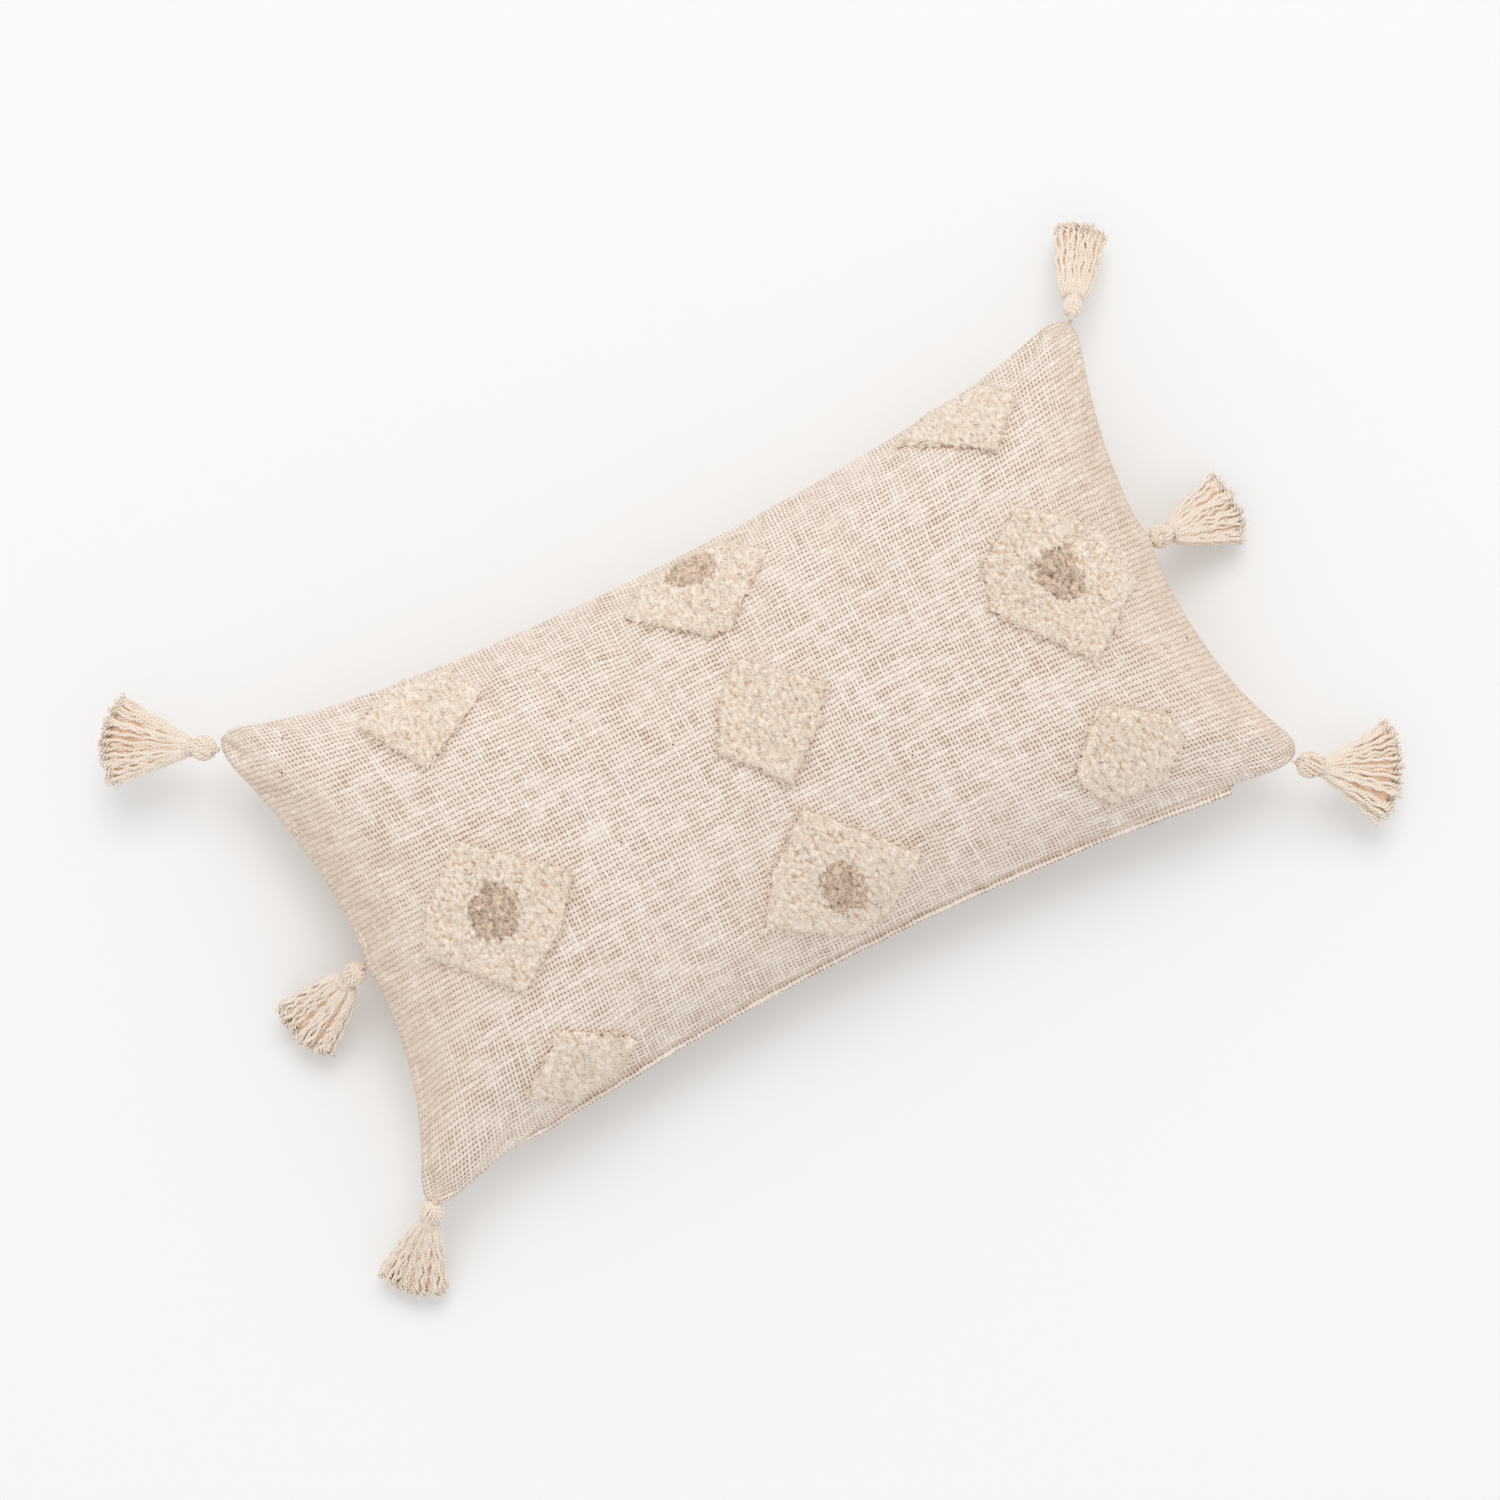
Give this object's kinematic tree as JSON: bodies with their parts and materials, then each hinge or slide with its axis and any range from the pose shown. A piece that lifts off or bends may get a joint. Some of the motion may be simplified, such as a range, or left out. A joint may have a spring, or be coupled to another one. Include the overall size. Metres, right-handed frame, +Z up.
{
  "type": "throw pillow",
  "caption": "Rectangular lumbar throw pillow with tufted pile motifs, a concealed zip along one long side, an inner insert and hanging yarn tassels.",
  "frame": {"origin": "middle of the flat underside that the pillow rests on", "axes": "+X along the pillow, +Y across it away from the zip, +Z up through the front panel with the motifs"},
  "size_m": [0.7259, 0.4306, 0.1166],
  "materials": {
    "cover_weave": "coarse slub cotton in plain weave, matte",
    "pile_cream": "looped and cut cotton pile, matte",
    "pile_taupe": "looped and cut cotton pile, matte",
    "tassel_yarn": "twisted cotton yarn, matte",
    "tassel_cord": "twisted cotton cord, matte",
    "binding_thread": "cotton thread wound side by side, matte",
    "zip_tape": "close woven polyester tape",
    "zip_coil": "nylon coil",
    "zip_metal": "satin plated",
    "insert_casing": "plain non-woven cloth, matte",
    "fibre_fill": "lofty polyester fibre"
  },
  "bodies": {
    "cushion": {"front_panel": "cover_weave", "back_panel": "cover_weave", "zip_lip": "cover_weave", "zip_tape_upper": "zip_tape", "zip_tape_lower": "zip_tape", "zip_coil_upper": "zip_coil", "zip_coil_lower": "zip_coil", "zip_top_stop": "zip_metal", "zip_bottom_stop": "zip_metal", "insert_casing_top": "insert_casing", "insert_casing_bottom": "insert_casing", "fibre_fill": "fibre_fill", "motif_rear_right": "pile_cream", "motif_right": "pile_cream", "motif_front_right": "pile_cream", "motif_rear": "pile_cream", "motif_centre": "pile_cream", "motif_front": "pile_cream", "motif_rear_left": "pile_cream", "motif_left": "pile_cream", "motif_front_left": "pile_cream", "motif_right_centre": "pile_taupe", "motif_rear_centre": "pile_taupe", "motif_front_centre": "pile_taupe", "motif_left_centre": "pile_taupe"},
    "slider": {"zip_slider": "zip_metal"},
    "pull_tab": {"zip_pull": "zip_metal"},
    "loop_rear_right": {"tassel_rear_right_loop": "tassel_cord"},
    "tassel_rear_right": {"tassel_rear_right_yarns": "tassel_yarn", "tassel_rear_right_binding": "binding_thread"},
    "loop_right": {"tassel_right_loop": "tassel_cord"},
    "tassel_right": {"tassel_right_yarns": "tassel_yarn", "tassel_right_binding": "binding_thread"},
    "loop_front_right": {"tassel_front_right_loop": "tassel_cord"},
    "tassel_front_right": {"tassel_front_right_yarns": "tassel_yarn", "tassel_front_right_binding": "binding_thread"},
    "loop_rear_left": {"tassel_rear_left_loop": "tassel_cord"},
    "tassel_rear_left": {"tassel_rear_left_yarns": "tassel_yarn", "tassel_rear_left_binding": "binding_thread"},
    "loop_left": {"tassel_left_loop": "tassel_cord"},
    "tassel_left": {"tassel_left_yarns": "tassel_yarn", "tassel_left_binding": "binding_thread"},
    "loop_front_left": {"tassel_front_left_loop": "tassel_cord"},
    "tassel_front_left": {"tassel_front_left_yarns": "tassel_yarn", "tassel_front_left_binding": "binding_thread"}
  },
  "joints": [
    {"name": "zip_travel", "type": "hinge", "parent": "cushion", "child": "slider", "pos_m": [0, -2.00814, 0.0426], "axis": [0, 0, 1], "range_deg": [0, 12.75]},
    {"name": "pull_flip", "type": "hinge", "parent": "slider", "child": "pull_tab", "pos_m": [0.2087, -0.14379, 0.0426], "axis": [0, 0, 1], "range_deg": [0, 170]},
    {"name": "sway_rear_right", "type": "hinge", "parent": "cushion", "child": "loop_rear_right", "pos_m": [0.29072, 0.15152, 0.05], "axis": [0, 0, 1], "range_deg": [-78.5, 51.5]},
    {"name": "swing_rear_right", "type": "hinge", "parent": "loop_rear_right", "child": "tassel_rear_right", "pos_m": [0.29367, 0.15574, 0.05], "axis": [0.8192, -0.5736, 0], "range_deg": [-50, 110]},
    {"name": "sway_right", "type": "hinge", "parent": "cushion", "child": "loop_right", "pos_m": [0.27025, 0.00896, 0.05], "axis": [0, 0, 1], "range_deg": [-34, 38]},
    {"name": "swing_right", "type": "hinge", "parent": "loop_right", "child": "tassel_right", "pos_m": [0.2754, 0.00878, 0.05], "axis": [-0.0349, -0.9994, 0], "range_deg": [-38, 102]},
    {"name": "sway_front_right", "type": "hinge", "parent": "cushion", "child": "loop_front_right", "pos_m": [0.29101, -0.15124, 0.05], "axis": [0, 0, 1], "range_deg": [-70.5, 59.5]},
    {"name": "swing_front_right", "type": "hinge", "parent": "loop_front_right", "child": "tassel_front_right", "pos_m": [0.29518, -0.15426, 0.05], "axis": [-0.5878, -0.809, 0], "range_deg": [-56, 104]},
    {"name": "sway_rear_left", "type": "hinge", "parent": "cushion", "child": "loop_rear_left", "pos_m": [-0.29106, 0.15116, 0.05], "axis": [0, 0, 1], "range_deg": [-74.5, 55.5]},
    {"name": "swing_rear_left", "type": "hinge", "parent": "loop_rear_left", "child": "tassel_rear_left", "pos_m": [-0.29543, 0.15389, 0.05], "axis": [0.5299, 0.848, 0], "range_deg": [-72, 88]},
    {"name": "sway_left", "type": "hinge", "parent": "cushion", "child": "loop_left", "pos_m": [-0.27019, -0.00739, 0.05], "axis": [0, 0, 1], "range_deg": [-54, 18]},
    {"name": "swing_left", "type": "hinge", "parent": "loop_left", "child": "tassel_left", "pos_m": [-0.27509, -0.00898, 0.05], "axis": [-0.309, 0.9511, 0], "range_deg": [-36, 104]},
    {"name": "sway_front_left", "type": "hinge", "parent": "cushion", "child": "loop_front_left", "pos_m": [-0.29087, -0.1514, 0.05], "axis": [0, 0, 1], "range_deg": [-69.5, 60.5]},
    {"name": "swing_front_left", "type": "hinge", "parent": "loop_front_left", "child": "tassel_front_left", "pos_m": [-0.29445, -0.1551, 0.05], "axis": [-0.7193, 0.6947, 0], "range_deg": [-44, 116]}
  ]
}
